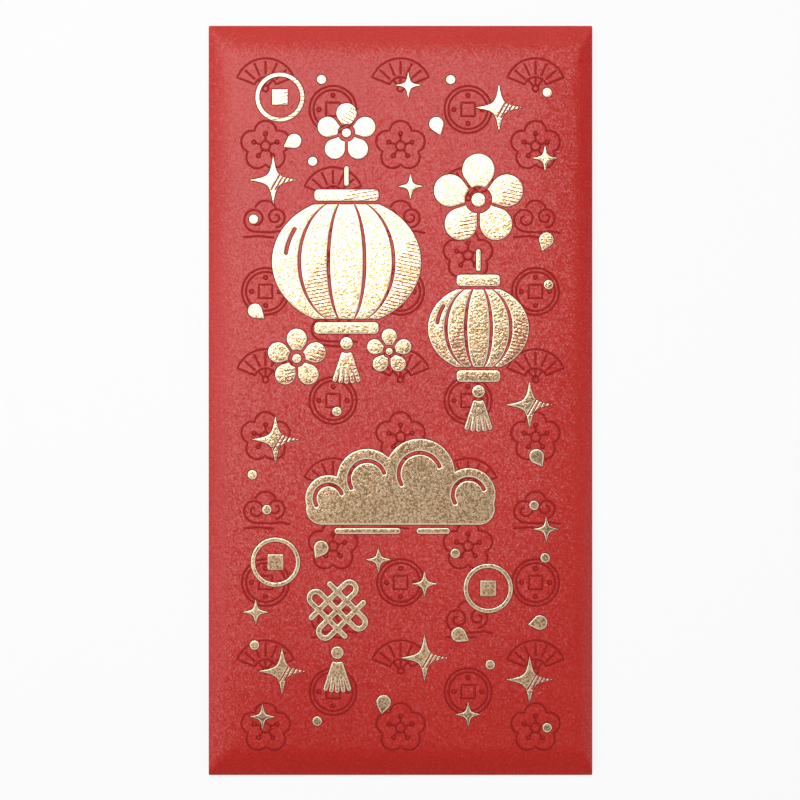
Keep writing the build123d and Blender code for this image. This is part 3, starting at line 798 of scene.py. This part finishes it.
def edgeShadeStrip(loop, room):
    # a hair line of dark red round a stamped edge, as a closed flat ring: painted shade of the pressed edge
    lean = inward(loop)
    out = np.minimum(stamp["keyWidth"], stamp["keyRoom"] * room)
    tuck = np.full(len(loop), stamp["keyTuck"] * stamp["keyWidth"])
    high, low = stamp["keyRise"], -stamp["sink"]
    corners = ((-out, low), (-out, high), (tuck, high), (tuck, low))
    rings = [laidOn(loop + lean * shift[:, None], lift) for shift, lift in corners]
    count = len(loop)
    faces = []
    for k in range(len(rings)):
        here, ahead = k * count, (k + 1) % len(rings) * count
        for a in range(count):
            b = (a + 1) % count
            faces.append((here + a, here + b, ahead + b, ahead + a))
    return np.concatenate(rings), faces


edgeShadeParts = []
for node in sorted(n for n in nodes if n.startswith("foil_")):
    loops = islandLoops(node)
    islands = islandsOf(loops)
    parts = [foilIsland(island, turn) for island, turn in zip(islands, hatched(islands))]
    points, faces = joined(parts)
    firstWord, *words = node.split("_")
    foil = smoothMesh(firstWord + "".join(word.capitalize() for word in words), points, faces, (gold,))
    finish = np.concatenate([part[2] for part in parts])
    for column, mark in enumerate(foilMarks):
        foil.data.attributes.new(mark, "FLOAT", "POINT").data.foreach_set("value", finish[:, column].copy())
    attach(foil, "pocket")
    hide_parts(node)
    # outside each outline goes a hair line of painted shade
    outward = -np.concatenate([inward(loop) for loop in loops])
    room = roomBeside(np.concatenate(loops), outward)
    cuts = np.cumsum([len(loop) for loop in loops])[:-1]
    edgeShadeParts += [edgeShadeStrip(loop, loopRoom) for loop, loopRoom in zip(loops, np.split(room, cuts))]
points, faces = joined(edgeShadeParts)
edgeShadeLines = smoothMesh("foilKeyLines", points, faces, (keyInk,))
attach(edgeShadeLines, "pocket")
print("foil stamped:", len(edgeShadeParts), "outlines")


# tonal line pattern: small drawn motifs in a half drop, laid over the front by a node tree
tonal = {
    "pitchX": 15.4 * mm,
    "pitchY": 16.6 * mm,
    "columns": 5,
    "rows": 10,
    "halfDrop": 0.5,
    "rowStride": 3.0,  # how the choice of motif moves on from row to row and from column to column
    "columnStride": 2.0,
    "reach": 79 * mm,
    "lineWidth": 0.52 * mm,
    "lineThickness": 0.016 * mm,
    "size": 5.7 * mm,
    "longestStep": 0.8 * mm,  # lines are cut this fine, so that they follow the swell of the card
    "rayStart": 20 * mm,
    "rayLength": 40 * mm,
}
middle = (0.0, 0.0)


# motifs are drawn from -1 to 1, as lines of points with a note of whether each is closed
def polar(centre, radius, degrees):
    angle = math.radians(degrees)
    return centre[0] + radius * math.cos(angle), centre[1] + radius * math.sin(angle)


def arcPoints(centre, radius, startDegrees, endDegrees, count):
    return [polar(centre, radius, degrees) for degrees in np.linspace(startDegrees, endDegrees, count)]


def spiralPoints(centre, startRadius, endRadius, startDegrees, endDegrees, count):
    radii = np.linspace(startRadius, endRadius, count)
    turns = np.linspace(startDegrees, endDegrees, count)
    return [polar(centre, radius, degrees) for radius, degrees in zip(radii, turns)]


def ringLine(centre, radius, count):
    return arcPoints(centre, radius, 0, 360 - 360 / count, count), True


def blossomLines():
    petal, reach, eye, bead = 0.44, 0.56, 0.19, 0.07
    stemStart, stemEnd, beadAt = 0.21, 0.42, 0.4872
    petalTurn = 72
    half = math.radians(petalTurn / 2)
    meet = reach * math.cos(half) + math.sqrt(petal ** 2 - (reach * math.sin(half)) ** 2)
    sweep = math.degrees(math.atan2(meet * math.sin(half), meet * math.cos(half) - reach))
    outline, lines = [], [ringLine(middle, eye, 14)]
    for turn in range(90, 90 + 360, petalTurn):
        outline += arcPoints(polar(middle, reach, turn), petal, turn - sweep, turn + sweep, 13)[:-1]
        stem = [polar(middle, stemStart, turn), polar(middle, stemEnd, turn)]
        lines += [(stem, False), ringLine(polar(middle, beadAt, turn), bead, 8)]
    return [(outline, True)] + lines


def cloudLines():
    left = spiralPoints((-0.42, -0.02), 0.10, 0.50, 90, 630, 40)
    right = spiralPoints((0.40, 0.06), 0.09, 0.42, 90, -450, 36)
    crest = arcPoints((0.0, 0.28), 0.44, 160, 18, 16)
    tail = [(0.15, -0.55), (0.62, -0.50), (1.0, -0.58)]
    lower = [(-0.9, -0.74), (-0.3, -0.70), (0.35, -0.76)]
    return [(left + tail, False), (right, False), (crest, False), (lower, False)]


def coinLines():
    outerRing, innerRing, corner, dotAt, dot = 0.94, 0.78, 0.27, 0.56, 0.07
    hole = [(-corner, -corner), (corner, -corner), (corner, corner), (-corner, corner)]
    dots = [ringLine(polar(middle, dotAt, turn), dot, 8) for turn in (0, 90, 180, 270)]
    return [ringLine(middle, outerRing, 36), ringLine(middle, innerRing, 32), (hole, True)] + dots


def fanLines():
    foot = (0.0, -0.62)
    rivet, leafStart, ribStart, ribEnd, leafEnd = 0.12, 0.46, 0.55, 1.12, 1.22
    leaf = arcPoints(foot, leafEnd, 22, 158, 26) + arcPoints(foot, leafStart, 158, 22, 12)
    ribs = [([polar(foot, ribStart, turn), polar(foot, ribEnd, turn)], False)
            for turn in (42, 66, 90, 114, 138)]
    handle = [([polar(foot, rivet, turn), polar(foot, leafStart, turn)], False) for turn in (50, 90, 130)]
    return [(leaf, True), ringLine(foot, rivet, 10)] + ribs + handle


def cutFine(points, closed):
    ends = points[1:] + points[:1] if closed else points[1:]
    fine = []
    for (ax, ay), (bx, by) in zip(points, ends):
        count = math.ceil(math.hypot(bx - ax, by - ay) * tonal["size"] / tonal["longestStep"])
        fine += [(ax + (bx - ax) * k / count, ay + (by - ay) * k / count) for k in range(count)]
    return fine if closed else fine + points[-1:]


def drawMotif(name, lines, collection):
    curve = bpy.data.curves.new(name, "CURVE")
    curve.dimensions = "3D"
    for points, closed in lines:
        fine = cutFine(points, closed)
        spline = curve.splines.new("POLY")
        spline.points.add(len(fine) - 1)
        for target, (x, y) in zip(spline.points, fine):
            target.co = (x * tonal["size"], y * tonal["size"], 0, 1)
        spline.use_cyclic_u = closed
    collection.objects.link(bpy.data.objects.new(name, curve))


def tonalTree(motifs, inputs):
    tree = bpy.data.node_groups.new("tonalPattern", "GeometryNodeTree")
    tree.interface.new_socket("Geometry", in_out="OUTPUT", socket_type="NodeSocketGeometry")
    sockets = {}
    for label, kind, value in inputs:
        made = tree.interface.new_socket(label, in_out="INPUT", socket_type="NodeSocket" + kind)
        sockets[label] = made.identifier
    given = tree.nodes.new("NodeGroupInput").outputs

    def span(count, pitch):
        return calculate(tree, "MULTIPLY", calculate(tree, "SUBTRACT", count, 1.0), pitch)

    # a lattice of places, each with its choice of motif, every other column dropped by half a pitch
    lattice = addNode(tree, "GeometryNodeMeshGrid", {
        "Size X": span(given["Columns"], given["Pitch X"]),
        "Size Y": span(given["Rows"], given["Pitch Y"]),
        "Vertices X": given["Columns"],
        "Vertices Y": given["Rows"],
    })
    order = addNode(tree, "GeometryNodeInputIndex").outputs[0]
    column = calculate(tree, "FLOOR", calculate(tree, "DIVIDE", order, given["Rows"]))
    row = calculate(tree, "MODULO", order, given["Rows"])
    byRow = calculate(tree, "MULTIPLY", row, tonal["rowStride"])
    byColumn = calculate(tree, "MULTIPLY", column, tonal["columnStride"])
    pick = calculate(tree, "MODULO", calculate(tree, "ADD", byRow, byColumn), len(motifs.objects))
    chosen = addNode(tree, "GeometryNodeStoreNamedAttribute", {
        "Geometry": lattice.outputs[0], "Name": "pick", "Value": pick}, data_type="INT", domain="POINT")
    oddPitch = calculate(tree, "MULTIPLY", calculate(tree, "MODULO", column, 2.0), given["Pitch Y"])
    drop = calculate(tree, "MULTIPLY", oddPitch, tonal["halfDrop"])
    shift = addNode(tree, "ShaderNodeCombineXYZ", {1: drop}).outputs[0]
    dropped = addNode(tree, "GeometryNodeSetPosition", {"Geometry": chosen.outputs[0], "Offset": shift})
    spot = addNode(tree, "GeometryNodeInputPosition").outputs[0]
    along = addNode(tree, "ShaderNodeSeparateXYZ", {0: spot}).outputs[1]
    outside = addNode(tree, "FunctionNodeCompare", {0: along, 1: given["Reach"]}, operation="GREATER_THAN")
    trimmed = addNode(tree, "GeometryNodeDeleteGeometry", {
        "Geometry": dropped.outputs[0], "Selection": outside.outputs[0]})

    # motifs placed and drawn out as flat ribbons of ink
    drawn = addNode(tree, "GeometryNodeCollectionInfo", {
        "Collection": motifs, "Separate Children": True, "Reset Children": True})
    choice = addNode(tree, "GeometryNodeInputNamedAttribute", {"Name": "pick"}, data_type="INT").outputs[0]
    placed = addNode(tree, "GeometryNodeInstanceOnPoints", {
        "Points": trimmed.outputs[0],
        "Instance": drawn.outputs[0],
        "Pick Instance": True,
        "Instance Index": choice,
    })
    lines = addNode(tree, "GeometryNodeRealizeInstances", {"Geometry": placed.outputs[0]})
    upright = addNode(tree, "GeometryNodeSetCurveNormal", {"Curve": lines.outputs[0]}, mode="Z_UP")
    nib = addNode(tree, "GeometryNodeCurvePrimitiveQuadrilateral", {
        "Width": given["Line Width"], "Height": given["Line Thickness"]})
    ribbon = addNode(tree, "GeometryNodeCurveToMesh", {
        "Curve": upright.outputs[0], "Profile Curve": nib.outputs[0]})

    # every point let down onto the card
    cardShape = addNode(tree, "GeometryNodeObjectInfo", {"Object": given["Card"]})
    landed = addNode(tree, "GeometryNodeRaycast", {
        "Target Geometry": cardShape.outputs["Geometry"],
        "Source Position": calculateVector(tree, "ADD", spot, (0.0, 0.0, tonal["rayStart"])),
        "Ray Direction": (0.0, 0.0, -1.0),
        "Ray Length": tonal["rayLength"],
    })
    cardZ = addNode(tree, "ShaderNodeSeparateXYZ", {0: landed.outputs["Hit Position"]}).outputs[2]
    lift = addNode(tree, "ShaderNodeCombineXYZ", {2: cardZ}).outputs[0]
    laid = addNode(tree, "GeometryNodeSetPosition", {"Geometry": ribbon.outputs[0], "Offset": lift})
    inked = addNode(tree, "GeometryNodeSetMaterial", {"Geometry": laid.outputs[0], "Material": given["Ink"]})
    tree.links.new(inked.outputs[0], tree.nodes.new("NodeGroupOutput").inputs[0])
    return tree, sockets


motifs = bpy.data.collections.new("tonalMotifs")
motifLines = {"motifA": blossomLines(), "motifB": cloudLines(), "motifC": coinLines(), "motifD": fanLines()}
for name, lines in motifLines.items():
    drawMotif(name, lines, motifs)
patternInputs = (
    ("Pitch X", "Float", tonal["pitchX"]),
    ("Pitch Y", "Float", tonal["pitchY"]),
    ("Columns", "Int", tonal["columns"]),
    ("Rows", "Int", tonal["rows"]),
    ("Reach", "Float", tonal["reach"]),
    ("Line Width", "Float", tonal["lineWidth"]),
    ("Line Thickness", "Float", tonal["lineThickness"]),
    ("Card", "Object", pocket),
    ("Ink", "Material", tonalInk),
)
patternTree, sockets = tonalTree(motifs, patternInputs)
tonalPrint = bpy.data.objects.new("tonalPrint", bpy.data.meshes.new("tonalPrint"))
scene.collection.objects.link(tonalPrint)
modifier = tonalPrint.modifiers.new("pattern", "NODES")
modifier.node_group = patternTree
for label, kind, value in patternInputs:
    modifier[sockets[label]] = value
bpy.context.view_layer.update()
evaluated = tonalPrint.evaluated_get(bpy.context.evaluated_depsgraph_get())
printMesh = bpy.data.meshes.new_from_object(evaluated)
tonalPrint.modifiers.remove(modifier)
tonalPrint.data = printMesh
for drawn in list(motifs.objects):
    bpy.data.objects.remove(drawn)
bpy.data.collections.remove(motifs)
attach(tonalPrint, "pocket")
print("tonal pattern laid:", len(printMesh.polygons), "faces")


# floor, light and camera
stage = {
    "floorSize": 8.0,
    "floorGap": 0.05 * mm,
    "floorWhite": (0.86, 0.86, 0.86, 1),
    "floorRough": 0.9,
    "whiteShare": 0.85,  # how much of the floor's look is plain white
    "white": (1, 1, 1, 1),
    "worldStrength": 0.17,
    "skylineStrength": 0.50,  # what foil mirrors when it is seen aslant
    "skylineLow": 0.25,
    "skylineHigh": 0.65,
    "lens": 100.0,
    "sensor": 36.0,
    "frameWidth": 183.55 * mm,  # what the picture's width covers at the fold line
    "foldLevel": 0.8 * mm,
    "aimX": -0.10 * mm,
    "aimY": 0.10 * mm,
}


def rayKinds(tree):
    ray = addNode(tree, "ShaderNodeLightPath").outputs
    mirrored = calculate(tree, "MAXIMUM", ray["Is Glossy Ray"], ray["Is Transmission Ray"])
    return ray["Is Camera Ray"], mirrored


def whiteFloor():
    mesh = bpy.data.meshes.new("floor")
    half = stage["floorSize"] / 2
    z = cadBox[0].z - stage["floorGap"]
    corners = [(-half, -half, z), (half, -half, z), (half, half, z), (-half, half, z)]
    mesh.from_pydata(corners, [], [(0, 1, 2, 3)])
    material, tree, shader = newMaterial("whiteFloor")
    setInputs(tree, shader, {"Base Color": stage["floorWhite"], "Roughness": stage["floorRough"]})
    direct, mirrored = rayKinds(tree)
    share = calculate(tree, "MULTIPLY", calculate(tree, "MAXIMUM", direct, mirrored), stage["whiteShare"])
    white = addNode(tree, "ShaderNodeEmission", {"Color": stage["white"], "Strength": 1.0})
    mixed = addNode(tree, "ShaderNodeMixShader", {0: share, 1: shader.outputs[0], 2: white.outputs[0]})
    tree.links.new(mixed.outputs[0], tree.nodes["Material Output"].inputs["Surface"])
    mesh.materials.append(material)
    floor = bpy.data.objects.new("floor", mesh)
    scene.collection.objects.link(floor)


softBoxes = {
    "overBox": {"at": (-0.055, 0.178, 0.58), "aim": (-0.02, 0.085, 0.0), "size": (0.46, 0.242),
                "watts": 1.20, "spread": 150},
    "keyBox": {"at": (-0.36, 0.40, 0.60), "aim": (-0.02, 0.05, 0.0), "size": (0.34, 0.34),
               "watts": 0.10, "spread": 46},
    "leftBox": {"at": (-0.48, 0.02, 0.52), "aim": (0.0, 0.0, 0.0), "size": (0.30, 0.65),
                "watts": 1.05, "spread": 180},
    "rightBox": {"at": (0.62, -0.18, 0.34), "aim": (0.0, -0.03, 0.0), "size": (0.40, 0.50),
                 "watts": 0.56, "spread": 180},
    "lowBox": {"at": (-0.46, -0.12, 0.30), "aim": (-0.044, -0.06, 0.0), "size": (0.20, 0.34),
               "watts": 0.20, "spread": 180},
    "backBox": {"at": (0.0, 0.66, 0.33), "aim": (0.0, 0.08, 0.0), "size": (0.55, 0.32),
                "watts": 0.48, "spread": 180},
    "footBox": {"at": (0.0, -0.13, 0.58), "aim": (0.0, -0.06, 0.0), "size": (0.32, 0.16),
                "watts": 0.065, "spread": 180},
}


def softBox(name, spec):
    light = bpy.data.lights.new(name, "AREA")
    light.shape = "RECTANGLE"
    light.size, light.size_y = spec["size"]
    light.energy = spec["watts"]
    light.spread = math.radians(spec["spread"])
    lamp = bpy.data.objects.new(name, light)
    lamp.location = spec["at"]
    lamp.rotation_euler = (Vector(spec["aim"]) - Vector(spec["at"])).to_track_quat("-Z", "Y").to_euler()
    scene.collection.objects.link(lamp)


def paleStudio():
    # even light all round, which mirrors see paler towards the skyline and the camera sees white
    world = bpy.data.worlds.new("studio")
    scene.world = world
    world.use_nodes = True
    tree = world.node_tree
    direct, mirrored = rayKinds(tree)
    way = addNode(tree, "ShaderNodeTexCoord").outputs["Generated"]
    height = addNode(tree, "ShaderNodeSeparateXYZ", {0: way}).outputs["Z"]
    skyline = spread(tree, height, stage["skylineStrength"], stage["worldStrength"],
                     stage["skylineLow"], stage["skylineHigh"])
    lit = spread(tree, mirrored, stage["worldStrength"], skyline)
    setInputs(tree, tree.nodes["Background"], {
        "Color": stage["white"],
        "Strength": spread(tree, direct, lit, 1.0),
    })


whiteFloor()
for name, spec in softBoxes.items():
    softBox(name, spec)
paleStudio()

cameraData = bpy.data.cameras.new("camera")
cameraData.lens = stage["lens"]
cameraData.sensor_width = stage["sensor"]
camera = bpy.data.objects.new("camera", cameraData)
distance = stage["lens"] / stage["sensor"] * stage["frameWidth"]
camera.location = (stage["aimX"], stage["aimY"], stage["foldLevel"] + distance)
scene.collection.objects.link(camera)
scene.camera = camera
print("stage set")
